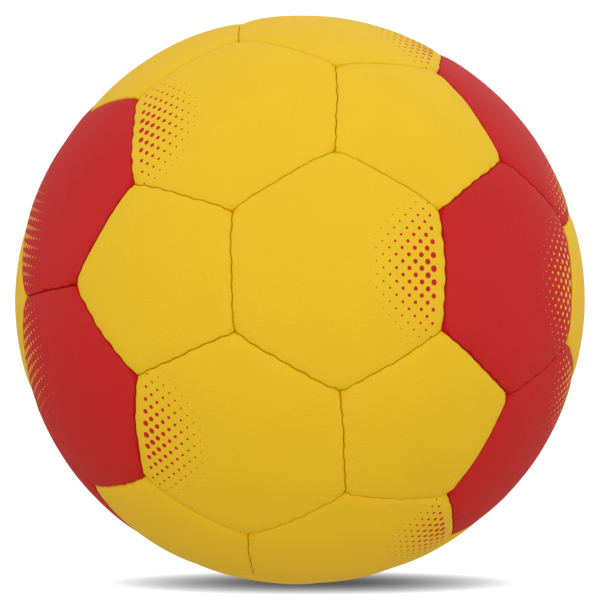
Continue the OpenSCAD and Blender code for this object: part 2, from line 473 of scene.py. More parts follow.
def side_directions(n, k):
    """Unit directions of side k's start, middle and end, on a panel round +Z."""
    side = side_angle(n)
    around = turn("z", (k + 0.5) * 2 * math.pi / n)
    found = []
    for angle in (-HALF_SEAM, 0, HALF_SEAM):
        along = [math.sin(side) * math.cos(angle), math.sin(angle), math.cos(side) * math.cos(angle)]
        found.append(around @ np.array(along))
    return found


start, middle, end = side_directions(6, 0)
print("degrees of the ball that a seam spans:", round(math.degrees(math.acos(start @ end)), 1))

# %% [markdown]
# All irregularities of a seam are waves or bumps along it. Each is drawn from the seam's own
# seed, so they come out the same every time, and for both of its panels.

# %% The line of a seam
STITCH_MM = 5.6
STITCHES = 6
SAMPLES = 80
WAVE = 0.11
WAVE_SHARES = (0.9, 1.2)
# How many waves a seam has, and their height as a share of WAVE.
WANDERS = [(1.7, 1.1), (3.4, 0.45), (10.4, 0.2)]
BOW = 0.3
ROW_SLIP = 0.6
PINCH = 0.17
PINCH_SHARPNESS = 1.6
PINCH_CHANGE = 0.25
PINCH_WAVES = 2.2
CORNER_PIT = 0.3
CORNER_REACH = 1.8
CORNER_ROLL = 0.9
CORNER_ROUND = 1.3
SEAM_SEED = 9673
TIGHTEST = 0.4
LOOSEST = 1.2
LOOSE_CHANGE = 0.15
LOOSE_WAVES = 2.7
# Any fixed direction tells the two ends of a seam apart, for both of its panels alike.
READING_WAY = np.array([0.31, 0.57, 0.76])


def drift(chance, waves, t):
    """A wave along a seam that may start anywhere."""
    return np.sin(2 * math.pi * waves * t + chance.uniform(0, 2 * math.pi))


def seam_line(panel, k):
    """Side shift and pinch in mm, and share of the roll's radius, at samples along side k."""
    start, middle, end = (panel["matrix"] @ d for d in side_directions(panel["sides"], k))
    number = seam_number(middle)
    forward = bool(start @ READING_WAY < end @ READING_WAY)
    chance = random.Random(SEAM_SEED + number)
    looseness = chance.uniform(TIGHTEST, LOOSEST)
    t = np.arange(SAMPLES) / SAMPLES
    from_corner = np.minimum(t, 1 - t) * seam_length
    if not forward:
        t = 1 - t
    slip = chance.uniform(-ROW_SLIP, ROW_SLIP)
    stitch_turns = 2 * math.pi * (t - 0.5) * seam_length / STITCH_MM + slip
    wander = chance.choice((-1, 1)) * WAVE * chance.uniform(*WAVE_SHARES) * np.cos(stitch_turns)
    for waves, share in WANDERS:
        wander += WAVE * share * drift(chance, waves, t)
    wander += chance.uniform(-BOW, BOW) * np.sin(math.pi * t)
    ends = np.clip(from_corner / CORNER_REACH, 0, 1) ** 2
    strength = 1 - PINCH_CHANGE + PINCH_CHANGE * drift(chance, PINCH_WAVES, t)
    stitch = (0.5 + 0.5 * np.cos(stitch_turns)) ** PINCH_SHARPNESS
    pinch = PINCH * strength * stitch + CORNER_PIT * np.exp(-((from_corner / CORNER_REACH) ** 2))
    looseness = looseness + LOOSE_CHANGE * drift(chance, LOOSE_WAVES, t)
    roll = 1 + (looseness - 1) * ends + CORNER_ROLL * np.exp(-((from_corner / CORNER_ROUND) ** 2))
    sign = 1 if forward else -1
    return sign * wander * ends, pinch, roll


row = round(STITCHES * STITCH_MM, 1)
print("mm of a seam for its row of stitches:", row, "of", round(seam_length, 1))

# %% [markdown]
# A point of a panel is found from two conditions: it has a given distance from the plane of
# its seam, and it lies on a sphere. Together they give a quadratic equation with one useful
# answer. The share t runs from 0 to 1 along the side, and equal steps of it are equal steps
# along the seam.

# %% A point beside a seam
def beside_seam(n, k, t, inset, centre, radius):
    """Points at shares t along side k and at an inset, on a sphere round (0, 0, centre)."""
    side = side_angle(n)
    slope = np.tan((2 * t - 1) * HALF_SEAM) / math.sin(side)
    lean = 1 / math.tan(side)
    rise = inset / math.sin(side)
    offset = rise - centre
    square = 1 + slope**2 + lean**2
    root = (offset * lean) ** 2 - square * (offset**2 - radius**2)
    x = (np.sqrt(root) - offset * lean) / square
    local = np.stack([x, slope * x, rise + x * lean], axis=1)
    return local @ turn("z", (k + 0.5) * 2 * math.pi / n).T


def on_dome(directions, centre, radius):
    """Where rays from the ball's centre meet a sphere round (0, 0, centre)."""
    along = directions[:, 2] * centre
    reach = along + np.sqrt(along**2 + radius**2 - centre**2)
    return directions * reach[:, None]


def unit(vectors):
    return vectors / np.linalg.norm(vectors, axis=1)[:, None]


STEPS = np.arange(SAMPLES) / SAMPLES
trial = [beside_seam(6, k, STEPS, 0 * STEPS, 0, seam_r + 0 * STEPS) for k in range(6)]
print("width of a hexagon over its corners in mm:", round(float(np.ptp(np.concatenate(trial)[:, 0])), 1))

# %% [markdown]
# Near the middle of a panel nothing fine happens, so the rings there keep only a half, a
# quarter or an eighth of the points. The bridge between two rings is a row of quads, or of
# quads and triangles where the number of points doubles.

# %% Faces between rings
def bridge(a, b):
    """Faces between ring a and the next ring b, which may have twice or half as many points."""
    count = min(len(a), len(b))
    faces = []
    for i in range(count):
        j = (i + 1) % count
        if len(a) == len(b):
            faces.append((a[i], b[i], b[j], a[j]))
        elif len(b) > len(a):
            faces.append((a[i], b[2 * i], b[2 * i + 1]))
            faces.append((a[i], b[2 * i + 1], b[2 * j], a[j]))
        else:
            faces.append((a[2 * i], b[i], a[2 * i + 1]))
            faces.append((a[2 * i + 1], b[i], b[j], a[2 * j]))
    return faces


def close_rings(rings, pierced=False):
    """Vertices and faces of a closed piece whose rings run from its outer to its inner middle."""
    numbers = []
    first = 0
    for ring in rings:
        numbers.append(list(range(first, first + len(ring))))
        first += len(ring)
    faces = []
    for a, b in zip(numbers, numbers[1:]):
        if len(a) == 1:
            faces += [(a[0], b[i], b[(i + 1) % len(b)]) for i in range(len(b))]
        elif len(b) == 1:
            faces += [(b[0], a[(i + 1) % len(a)], a[i]) for i in range(len(a))]
        else:
            faces += bridge(a, b)
    if pierced:
        faces += bridge(numbers[-1], numbers[0])
    return np.concatenate(rings), faces


print("a bridge from 3 to 6 points has", len(bridge([0, 1, 2], [3, 4, 5, 6, 7, 8])), "faces")

# %% [markdown]
# No sheet of leather is perfectly even. A sum of a few long waves, the same for the whole
# ball, lifts and lowers every layer by a few hundredths of a millimetre, which the eye reads
# in the soft shading.

# %% Slight unevenness
UNEVEN = 0.05
WAVE_SEED = 11
WAVE_COUNT = 9
SHORT_WAVE = 13
LONG_WAVE = 34

wave_chance = np.random.default_rng(WAVE_SEED)
wave_ways = unit(wave_chance.normal(size=(WAVE_COUNT, 3)))
wave_steps = wave_ways * (2 * math.pi / wave_chance.uniform(SHORT_WAVE, LONG_WAVE, (WAVE_COUNT, 1)))
wave_starts = wave_chance.uniform(0, 2 * math.pi, WAVE_COUNT)


def unevenness(points):
    """Height in mm at points in mm, as a rule between -UNEVEN and UNEVEN."""
    return UNEVEN * np.sin(points @ wave_steps.T + wave_starts).sum(axis=1) / math.sqrt(WAVE_COUNT)


def onto_ball(panel, points):
    """Takes points from a panel's own place to the ball, uneven and flat where it stands."""
    placed = points @ panel["matrix"].T
    placed = placed + unit(placed) * unevenness(placed)[:, None]
    placed[:, 2] = np.maximum(placed[:, 2], floor_z)
    return placed


print("unevenness at the ball's front in mm:", round(float(unevenness(np.array([[0, -ball_r, 0]]))[0]), 3))

# %% [markdown]
# ## The layers of a panel
#
# Leather, foam and lining follow the same domes and the same seams, so one function stacks the
# rings for all three. The share of the seam's side shift and of its pinch that a ring takes
# fades away within a few millimetres of the seam. Leather and lining have legs, the
# turned-in allowance that the thread goes through, and the foam has none.

# %% One ring of a layer
# How far in from the seams the rings on the dome lie, in mm.
DOME_INSETS = [13, 9.6, 7.2, 5.4, 4.1, 3.1, 2.3, 1.6]
PINCH_REACH = 2.3
SHIFT_REACH = 3.2


def layer_ring(panel, lines, inset, depth=0, radius=None, across=0, down=0):
    """A ring of a layer, at an inset from the seams and at a depth under the dome or at a radius.

    The last two values are how far the ring has gone across and down the rolled edge.
    """
    n = panel["sides"]
    away = inset + across
    shifted = math.exp(-((max(away - ROLL_R, 0) / SHIFT_REACH) ** 2))
    pinched = math.exp(-((away / PINCH_REACH) ** 2))
    sunk = PILLOW * math.exp(-away / PILLOW_REACH)
    centre = 0 if radius else dome_shift(n)
    ring = []
    for k, (shift, pinch, roll) in enumerate(lines):
        reach = ball_r - centre - depth - down * roll - sunk - pinch * pinched
        if radius:
            reach = radius + 0 * pinch
        ring.append(beside_seam(n, k, STEPS, inset + across * roll + shift * shifted, centre, reach))
    return np.concatenate(ring)


even_line = (np.zeros(SAMPLES), np.zeros(SAMPLES), np.ones(SAMPLES))
even_ring = layer_ring(PANELS[2], [even_line] * 6, DOME_INSETS[0])
print("points in the first ring of a hexagon:", len(even_ring))

# %% [markdown]
# Further in, the rings no longer follow the seams. They blend from the shape of the panel into
# one point at its middle, or into the round hole that the valve's barrel goes through. On the
# outer face that hole gets a small round of its own.

# %% The middle of a panel
# How far in towards the middle a ring lies, and how many points there are to each one it keeps.
MIDDLE_SHARES = [(0.88, 8), (0.74, 4), (0.6, 4), (0.46, 2), (0.32, 2), (0.16, 2)]
HOLE_ROUND = 0.5


def hole_ring(panel, around, hole_r, depth):
    centre = dome_shift(panel["sides"])
    ring = np.stack([np.cos(around) * hole_r, np.sin(around) * hole_r, np.full(len(around), ball_r)], axis=1)
    return on_dome(unit(ring), centre, ball_r - centre - depth)


def middle_rings(panel, ring, depth, hole_r, rounded):
    """Rings from the middle of a panel, or from its hole, out to the first ring beside the seams."""
    centre = dome_shift(panel["sides"])
    outward = unit(ring)
    around = np.arctan2(outward[:, 1], outward[:, 0])
    rings = []
    if hole_r:
        around_hole = around[::4]
        for angle in (0, math.pi / 6, math.pi / 3) if rounded else ():
            round_r = hole_r + HOLE_ROUND * (1 - math.cos(angle))
            rings.append(hole_ring(panel, around_hole, round_r, depth + HOLE_ROUND * (1 - math.sin(angle))))
        rings.append(hole_ring(panel, around_hole, hole_r + HOLE_ROUND * rounded, depth))
    else:
        rings.append(np.array([[0.0, 0.0, ball_r - depth]]))
    inner = unit(hole_ring(panel, around, hole_r, depth))
    for share, every in MIDDLE_SHARES:
        mixed = unit(outward * (1 - share) + inner * share)
        rings.append(on_dome(mixed, centre, ball_r - centre - depth)[:: min(every, 4) if hole_r else every])
    return rings


print("rings inside it:", len(middle_rings(PANELS[2], even_ring, 0, 0, False)))

# %% [markdown]
# A whole layer runs from the middle of its outer face over the rolled edge and its legs to the
# middle of its inner face.

# %% All rings of a layer
ROLL_STEPS = 8
LEG_SHARE = 0.4


def layer_rings(panel, top, thickness, inset, roll_r, legs, thin=1):
    """The rings of a layer, from the middle of its outer face to the middle of its inner face."""
    lines = [seam_line(panel, k) for k in range(panel["sides"])]
    hole_r = BARREL_HOLE_R if panel["name"] == VALVE_PANEL else 0
    outer = layer_ring(panel, lines, DOME_INSETS[0], top)
    rings = middle_rings(panel, outer, top, hole_r, top == 0)
    rings.append(outer[::2])
    for far in DOME_INSETS[1:]:
        if far > inset + roll_r:
            rings.append(layer_ring(panel, lines, far, top)[::thin])
    for step in range(ROLL_STEPS + 1):
        angle = math.pi / 2 * step / ROLL_STEPS
        across = roll_r * (1 - math.sin(angle))
        down = roll_r * (1 - math.cos(angle))
        rings.append(layer_ring(panel, lines, inset, top, across=across, down=down)[::thin])
    if legs:
        halfway = (seam_r - top - roll_r) * (1 - LEG_SHARE) + edge_r * LEG_SHARE
        for radius in (halfway, edge_r):
            rings.append(layer_ring(panel, lines, inset, radius=radius)[::thin])
        inset += thickness
        rings.append(layer_ring(panel, lines, inset, radius=edge_r)[::thin])
    rings.append(layer_ring(panel, lines, inset, top + thickness)[::thin])
    for far in DOME_INSETS[1::2][::-1]:
        if far > inset:
            rings.append(layer_ring(panel, lines, far, top + thickness)[::2])
    inner = layer_ring(panel, lines, DOME_INSETS[0], top + thickness)
    rings.append(inner[::2])
    rings += middle_rings(panel, inner, top + thickness, hole_r, False)[::-1]
    return rings


rings = layer_rings(PANELS[2], 0, SKIN_T, HALF_GAP, ROLL_R, legs=True)
print("rings in a leather panel:", len(rings), "and points:", sum(len(r) for r in rings))

# %% [markdown]
# Some seams join two panels of one colour and some join a red panel to a yellow one. The painted shade in the
# folds has to know which, so every side of every panel is asked once for its seam.

# %% Seams where two colours meet
def is_red(name):
    return "cap_hexagon" in name


def seam_of_side(panel, k):
    return seam_number(panel["matrix"] @ side_directions(panel["sides"], k)[1])


seam_colours = {}
for panel in PANELS:
    for k in range(panel["sides"]):
        seam_colours.setdefault(seam_of_side(panel, k), set()).add(is_red(panel["name"]))

two_coloured = {number for number, colours in seam_colours.items() if len(colours) == 2}
print("seams:", len(seam_colours), "of which join two colours:", len(two_coloured))

# %% [markdown]
# Every piece of the ball becomes a Blender object in the same way. It gets its mesh and its material, it
# rides on the ball's one body, and the measured solids that it stands for are hidden.

# %% From rings to a piece
SHARP_FROM = math.radians(50)


def make_piece(name, points, faces, material, nodes):
    mesh = bpy.data.meshes.new(name)
    mesh.from_pydata((points * MM).tolist(), [], faces)
    mesh.validate()
    mesh.shade_smooth()
    mesh.set_sharp_from_angle(angle=SHARP_FROM)
    mesh.materials.append(material)
    piece = bpy.data.objects.new(name, mesh)
    bpy.context.scene.collection.objects.link(piece)
    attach(piece, "root")
    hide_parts(*nodes)
    return piece


def join_parts(parts):
    """One set of vertices and faces from several."""
    points = np.concatenate([p for p, _ in parts])
    faces = []
    first = 0
    for part_points, part_faces in parts:
        faces += [tuple(first + i for i in face) for face in part_faces]
        first += len(part_points)
    return points, faces


# %% [markdown]
# ## Colours and scales of the finishes
#
# Colours are written as hex values, the way they are picked on a screen, and one function
# turns them into the linear values that the shaders work with. Textures are scaled from a real
# size in millimetres. All finishes end alike, with a relief of a real height and a surface with
# its own gloss, so one more function does that.

# %% Colour and scale helpers
YELLOW_DYE = "#E9BF22"
RED_DYE = "#C41E1E"


def linear(hex_colour, alpha=1.0):
    values = [int(hex_colour[i : i + 2], 16) / 255 for i in (1, 3, 5)]
    curved = [v / 12.92 if v <= 0.04045 else ((v + 0.055) / 1.055) ** 2.4 for v in values]
    return (*curved, alpha)


def per_size(size_mm):
    """Texture scale, in repeats per metre, for a pattern whose cells are size_mm wide."""
    return 1 / (size_mm * MM)


def per_band(size_mm):
    """Scale of a wave texture whose light and dark bands along an axis are size_mm wide."""
    return per_size(size_mm) / 20 * math.pi


def new_material(name):
    """An empty node material and its tree."""
    material = bpy.data.materials.new(name)
    material.use_nodes = True
    material.node_tree.nodes.clear()
    return material, material.node_tree


def close_finish(tree, colour, relief, relief_mm, roughness, ior, specular=0.5):
    """Ends a finish with its relief, its surface and the material's output."""
    bump = add_node(tree, "ShaderNodeBump", {"Height": relief, "Distance": relief_mm * MM})
    surface = add_node(
        tree,
        "ShaderNodeBsdfPrincipled",
        {
            "Base Color": colour,
            "Roughness": roughness,
            "IOR": ior,
            "Specular IOR Level": specular,
            "Normal": bump.outputs[0],
        },
    )
    add_node(tree, "ShaderNodeOutputMaterial", {"Surface": surface.outputs[0]})


print("yellow as linear light:", [round(v, 3) for v in linear(YELLOW_DYE)])

# %% [markdown]
# ## Printed dots
#
# The hexagons carry a print in the colour of the other leather. It is a plain fade of round
# dots, as any printer's screen makes it. The dots stand on a square grid that is turned by 45
# degrees. They are largest beside the seam nearest to the ball's end and shrink to nothing
# towards the middle of the panel.
#
# An image would be one way to make it. A Voronoi texture without randomness is sharper: it
# gives the distance to the nearest grid point, for the dot's round shape, and the grid point's
# own position, which makes every dot one size all over.

# %% Dots and where they lie
DOT_PITCH = 3.0
DOT_LARGEST = 1.15
DOT_REACH = 30
DOT_MARGIN = 3.6
DOT_EDGE = 0.12
PRINT_SIDE = 2
DIAGONAL = math.sqrt(0.5)


def print_places(n, points):
    """Distance along and from the seam of the print's side, in mm, for points of a panel."""
    side = side_angle(n)
    flat = unit(points) @ turn("z", (PRINT_SIDE + 0.5) * 2 * math.pi / n)
    inward = np.array([-math.cos(side), 0, math.sin(side)])
    middle = np.array([math.sin(side), 0, math.cos(side)])
    along = np.arctan2(flat[:, 1], flat @ middle)
    away = np.arcsin(np.clip(flat @ inward, -1, 1))
    return np.stack([along, away], axis=1) * ball_r


def dot_mask(tree):
    """A value that is 1 inside the printed dots and 0 outside them."""
    place = add_node(tree, "ShaderNodeUVMap", uv_map="print")
    turned = add_node(
        tree,
        "ShaderNodeMapping",
        {"Vector": place.outputs[0], "Rotation": (0, 0, math.pi / 4), "Scale": (1 / DOT_PITCH,) * 3},
    )
    grid = add_node(
        tree,
        "ShaderNodeTexVoronoi",
        {"Vector": turned.outputs[0], "Scale": 1.0, "Randomness": 0.0},
        voronoi_dimensions="2D",
    )
    spot = grid.outputs["Position"]

    def spot_mm(x_sign):
        """How far a dot's grid point lies along one of the map's own directions, in mm."""
        row = (x_sign * DIAGONAL * DOT_PITCH, DIAGONAL * DOT_PITCH, 0)
        measured = add_node(tree, "ShaderNodeVectorMath", {0: spot, 1: row}, operation="DOT_PRODUCT")
        return measured.outputs["Value"]

    away = spot_mm(-1)
    centre = add_node(tree, "ShaderNodeCombineXYZ", {"X": spot_mm(1), "Y": away})
    distance = add_node(tree, "ShaderNodeVectorMath", {0: centre.outputs[0]}, operation="LENGTH")
    far = distance.outputs["Value"]
    size = add_node(
        tree,
        "ShaderNodeMapRange",
        {"Value": far, "From Min": DOT_MARGIN, "From Max": DOT_REACH, "To Min": DOT_LARGEST, "To Max": 0.0},
    )
    inside = add_node(tree, "ShaderNodeMath", {0: away, 1: DOT_MARGIN}, operation="GREATER_THAN")
    kept = add_node(
        tree,
        "ShaderNodeMath",
        {0: size.outputs[0], 1: inside.outputs[0]},
        operation="MULTIPLY",
    )
    here = add_node(
        tree,
        "ShaderNodeMath",
        {0: grid.outputs["Distance"], 1: DOT_PITCH},
        operation="MULTIPLY",
    )
    depth = add_node(tree, "ShaderNodeMath", {0: kept.outputs[0], 1: here.outputs[0]}, operation="SUBTRACT")
    edge = {"Value": depth.outputs[0], "From Min": 0.0, "From Max": DOT_EDGE}
    return add_node(tree, "ShaderNodeMapRange", edge).outputs[0]


print("largest dot in mm:", 2 * DOT_LARGEST, "on a pitch of", DOT_PITCH)

# %% [markdown]
# ## Leather
#
# The cover is polyurethane leather: a cloth coated with dyed foam, pressed against a grained
# roller while it was soft, and lacquered dull so that it grips the hand. The pressed grain is
# small pebbles about 0.8 mm wide and only a few hundredths of a millimetre high. It breaks up
# the reflection and leaves a wide, faint sheen. The pebbles are drawn at their real width but
# 0.09 mm high, because lower ones wouldn't show. In the dye there is a very slight cloudiness.
# Deep in the folds of the seams the colour is a darker, painted shade, which keeps the line of a seam dark
# also where light falls into it. Where red and yellow leather meet, both folds have a darker painted shade,
# the yellow one with painted red light reflected from the red fold, so that line looks brown.

# %% Leather material
PEBBLE_MM = 0.85
PEBBLE_HIGH_MM = 0.09
PORE_MM = 0.32
PORE_SHARE = 0.35
CLOUD_MM = 16
FOLD_FROM_MM = 0.48
FOLD_FULL_MM = 0.9


def leather(name, dye, cloudy, fold_shade, meeting, ink=None):
    """Grained leather: its dye, that dye in cloudy spots, and painted shade in the folds, plain and where two
    colours meet.
    """
    material, tree = new_material(name)
    place = add_node(tree, "ShaderNodeTexCoord").outputs["Object"]
    cloud = add_node(
        tree,
        "ShaderNodeTexNoise",
        {"Vector": place, "Scale": per_size(CLOUD_MM), "Detail": 3.0},
    )
    colour = add_node(
        tree,
        "ShaderNodeMix",
        {0: cloud.outputs["Fac"], 6: linear(cloudy), 7: linear(dye)},
        data_type="RGBA",
    ).outputs[2]
    if ink:
        print_over = {0: dot_mask(tree), 6: colour, 7: linear(ink)}
        colour = add_node(tree, "ShaderNodeMix", print_over, data_type="RGBA").outputs[2]
    # The fold map's depth mixes in painted shade deep in the folds, and its mark the painted shade and
    # painted reflected red light where two colours meet.
    fold_map = add_node(tree, "ShaderNodeUVMap", uv_map="fold")
    fold = add_node(tree, "ShaderNodeSeparateXYZ", {0: fold_map.outputs[0]})
    deep = add_node(
        tree,
        "ShaderNodeMapRange",
        {"Value": fold.outputs["X"], "From Min": FOLD_FROM_MM, "From Max": FOLD_FULL_MM},
    )
    edge = add_node(
        tree,
        "ShaderNodeMix",
        {0: fold.outputs["Y"], 6: linear(fold_shade), 7: linear(meeting)},
        data_type="RGBA",
    ).outputs[2]
    fold_shade_over = {0: deep.outputs[0], 6: colour, 7: edge}
    colour = add_node(tree, "ShaderNodeMix", fold_shade_over, data_type="RGBA").outputs[2]
    pebbles = add_node(
        tree,
        "ShaderNodeTexVoronoi",
        {"Vector": place, "Scale": per_size(PEBBLE_MM)},
        feature="SMOOTH_F1",
    )
    pores = add_node(
        tree,
        "ShaderNodeTexNoise",
        {"Vector": place, "Scale": per_size(PORE_MM), "Detail": 2.0},
    )
    height = add_node(tree, "ShaderNodeMath", {0: pebbles.outputs["Distance"], 1: -1.0}, operation="MULTIPLY")
    height = add_node(
        tree,
        "ShaderNodeMath",
        {0: pores.outputs["Fac"], 1: PORE_SHARE, 2: height.outputs[0]},
        operation="MULTIPLY_ADD",
    )
    gloss = {"roughness": 0.65, "ior": 1.49, "specular": 0.18}
    close_finish(tree, colour, height.outputs[0], PEBBLE_HIGH_MM, **gloss)
    return material


# Each set: the dye, its cloudy spots, the painted shade in the folds, and the painted shade where two colours
# meet, with painted red light on the yellow side.
yellow_dyes_and_fold_shades = (YELLOW_DYE, "#E4B91F", "#E6B800", "#F09A00")
red_dyes_and_fold_shades = (RED_DYE, "#BE1C1D", "#BE0202", "#A50200")
yellow_plain = leather("yellow_grained_pu_leather", *yellow_dyes_and_fold_shades)
yellow_printed = leather("yellow_grained_pu_leather_printed", *yellow_dyes_and_fold_shades, ink=RED_DYE)
red_printed = leather("red_grained_pu_leather_printed", *red_dyes_and_fold_shades, ink=YELLOW_DYE)
print("leathers:", yellow_plain.name, yellow_printed.name, red_printed.name)

# %% [markdown]
# ## The leather panels
#
# Now every panel is built and put in its place. The pentagons and the hexagons in the middle are yellow and
# the five hexagons round each end are red. Two maps go with each panel. One has the places for the dots in
# millimetres, and the other the depth in the folds in millimetres, for the painted shade there, beside a mark
# where the nearest seam joins two colours, for the painted shade and painted reflected red light there. The
# mark fades out before the corners.

# %% Build the leather panels
MARK_FADE_MM = 3


def fold_places(panel, points):
    """How deep points lie under a panel's dome, in mm, and 1 where two colours meet nearby."""
    n = panel["sides"]
    centre = dome_shift(n)
    under = ball_r - centre - np.linalg.norm(points - [0, 0, centre], axis=1)
    sides_on = np.arctan2(points[:, 1], points[:, 0]) % (2 * math.pi) * n / (2 * math.pi)
    nearest = np.minimum(sides_on.astype(int), n - 1)
    from_corner = (0.5 - np.abs(sides_on - nearest - 0.5)) * seam_length
    meeting = np.array([seam_of_side(panel, k) in two_coloured for k in range(n)], float)
    return np.stack([under, meeting[nearest] * np.clip(from_corner / MARK_FADE_MM, 0, 1)], axis=1)


def add_map(piece, name, places):
    layer = piece.data.uv_layers.new(name=name)
    corners = np.zeros(len(piece.data.loops), np.int32)
    piece.data.loops.foreach_get("vertex_index", corners)
    layer.data.foreach_set("uv", places[corners].astype(np.float32).ravel())


def leather_finish(name):
    if is_red(name):
        return red_printed, "red_leather"
    if "mid_hexagon" in name:
        return yellow_printed, "yellow_leather"
    return yellow_plain, "yellow_leather"


for panel in PANELS:
    name = panel["name"]
    rings = layer_rings(panel, 0, SKIN_T, HALF_GAP, ROLL_R, legs=True)
    points, faces = close_rings(rings, pierced=name == VALVE_PANEL)
    material, slot = leather_finish(name)
    piece = make_piece(f"leather_{name}", onto_ball(panel, points), faces, material, [name])
    add_map(piece, "print", print_places(panel["sides"], points))
    add_map(piece, "fold", fold_places(panel, points))

print("seams found:", len(seam_middles), "and faces in the last panel:", len(faces))

# %% [markdown]
# ## Foam pads
#
# Under each panel lies a die-cut pad of closed-cell EVA foam, bonded to the back of the leather. It makes the
# ball soft to catch. Its cut sides show small broken cells, about 0.4 mm across, and nothing shines. The pads
# fill their place between the turned-in edges.

# %% Foam
LAY = 0.02
FOAM_ROLL_R = 0.3
CELL_MM = 0.4
CELL_DEEP_MM = 0.06


def eva_foam():
    material, tree = new_material("closed_cell_eva_foam")
    place = add_node(tree, "ShaderNodeTexCoord").outputs["Object"]
    cells = add_node(tree, "ShaderNodeTexVoronoi", {"Vector": place, "Scale": per_size(CELL_MM)})
    shade = add_node(
        tree,
        "ShaderNodeMix",
        {0: cells.outputs["Distance"], 6: linear("#E2DBC9"), 7: linear("#F2EEE2")},
        data_type="RGBA",
    )
    gloss = {"roughness": 0.9, "ior": 1.48, "specular": 0.2}
    close_finish(tree, shade.outputs[2], cells.outputs["Distance"], CELL_DEEP_MM, **gloss)
    return material


def layer_of_kind(sides, top, thickness, roll_r, legs):
    """The same layer under all panels with that many sides."""
    parts = []
    for panel in PANELS:
        if panel["sides"] == sides:
            rings = layer_rings(panel, top, thickness, HALF_GAP + SKIN_T + LAY, roll_r, legs, thin=2)
            points, faces = close_rings(rings, pierced=panel["name"] == VALVE_PANEL)
            parts.append((onto_ball(panel, points), faces))
    return join_parts(parts)


foam = eva_foam()
for sides, kind in ((5, "pentagons"), (6, "hexagons")):
    points, faces = layer_of_kind(sides, SKIN_T + LAY, FOAM_T - LAY, FOAM_ROLL_R, legs=False)
    pads = make_piece(f"foam_pads_of_{kind}", points, faces, foam, [f"foam_{kind}"])
    print(pads.name, "faces:", len(faces))

# %% [markdown]
# ## Lining
#
# The lining is cotton and polyester cloth in several laminated layers. It keeps the ball from
# stretching. Its threads are about 0.5 mm apart in plain weave. It is stiffened with latex, so
# it lies in the same domed shape as the leather and its edges stand down beside the seams.
# Two wave textures at right angles, multiplied, give the weave its over-and-under look, which
# repeats after two threads. Where the cloth faces one of the two directions, only the other
# threads show. A map of its own for each piece would mend that, but the leather hides it.

# %% Lining
LINING_ROLL_R = 0.4
WEAVE_MM = 0.5
WEAVE_HIGH_MM = 0.1


def latex_cloth():
    material, tree = new_material("latex_stiffened_plain_weave_cotton")
    place = add_node(tree, "ShaderNodeTexCoord").outputs["Object"]
    heights = []
    for way in "X", "Z":
        threads = add_node(
            tree,
            "ShaderNodeTexWave",
            {"Vector": place, "Scale": per_band(WEAVE_MM), "Distortion": 0.4, "Detail": 1.0},
            bands_direction=way,
        )
        heights.append(threads.outputs["Fac"])
    weave = add_node(tree, "ShaderNodeMath", {0: heights[0], 1: heights[1]}, operation="MULTIPLY")
    shade = add_node(
        tree,
        "ShaderNodeMix",
        {0: weave.outputs[0], 6: linear("#BDB39C"), 7: linear("#DED7C6")},
        data_type="RGBA",
    )
    gloss = {"roughness": 0.85, "ior": 1.5, "specular": 0.25}
    close_finish(tree, shade.outputs[2], weave.outputs[0], WEAVE_HIGH_MM, **gloss)
    return material


cloth = latex_cloth()
for sides, kind in ((5, "pentagons"), (6, "hexagons")):
    top = SKIN_T + FOAM_T + LAY
    points, faces = layer_of_kind(sides, top, LINING_T - LAY, LINING_ROLL_R, legs=True)
    lining = make_piece(f"lining_of_{kind}", points, faces, cloth, [f"lining_{kind}"])
    print(lining.name, "faces:", len(faces))

# %% [markdown]
# ## Stitches
#
# The panels are sewn by hand with a three-ply polyester thread. It is waxed, which lays its
# fibres flat and gives it a soft shine. The plies of such a thread come round about 1 mm apart.
# They are drawn a little over 2 mm apart, so that they show, with one slanting wave texture.

# %% Thread material
PLY_MM = 1.0
PLY_HIGH_MM = 0.12


def waxed_thread():
    material, tree = new_material("waxed_three_ply_polyester_thread")
    place = add_node(tree, "ShaderNodeTexCoord").outputs["Object"]
    plies = add_node(
        tree,
        "ShaderNodeTexWave",
        {"Vector": place, "Scale": per_band(PLY_MM), "Distortion": 0.3},
        bands_direction="DIAGONAL",
    )
    shade = add_node(
        tree,
        "ShaderNodeMix",
        {0: plies.outputs["Fac"], 6: linear("#D8D2C0"), 7: linear("#F4F0E4")},
        data_type="RGBA",
    )
    gloss = {"roughness": 0.42, "ior": 1.5}
    close_finish(tree, shade.outputs[2], plies.outputs["Fac"], PLY_HIGH_MM, **gloss)
    return material


thread = waxed_thread()
print("thread:", thread.name)

# %% [markdown]
# Two needles sew from both sides, so both faces of the turned-in edges show a row of stitches.
# Each stitch comes out of one hole, lies flat along the lining, and goes in at the next hole,
# close to where the seam is pinched. The stitches beside a corner are shorter, because the
# edges of three panels crowd together there. One stitch is a round tube along a short path
# that bends into the holes at both ends. It could be a Blender curve, but rings of points are
# enough and need no conversion into a mesh.

# %% Stitches as tubes
THREAD_R = 0.42
TUBE_SIDES = 8
# Along the seam as shares of a stitch, and out from the lining in mm, point by point.
STITCH_REACH = [0.04, 0.07, 0.15, 0.3, 0.5, 0.7, 0.85, 0.93, 0.96]
STITCH_OUT = [-0.75, -0.35, -0.06, 0, 0, 0, -0.06, -0.35, -0.75]
CORNER_STITCH = 0.75
TUBE_END = 0.4
BELOW_LINING = 0.3


def tube(path, radius):
    """A closed round tube along a path of points."""
    ahead = unit(np.gradient(path, axis=0))
    up = unit(path)
    aside = unit(np.cross(ahead, up))
    above = np.cross(aside, ahead)
    rings = [path[:1] - ahead[:1] * radius * TUBE_END]
    for i in range(len(path)):
        angles = np.arange(TUBE_SIDES) * 2 * math.pi / TUBE_SIDES
        ring = path[i] + radius * (np.outer(np.cos(angles), aside[i]) + np.outer(np.sin(angles), above[i]))
        rings.append(ring)
    rings.append(path[-1:] + ahead[-1:] * radius * TUBE_END)
    return close_rings(rings)


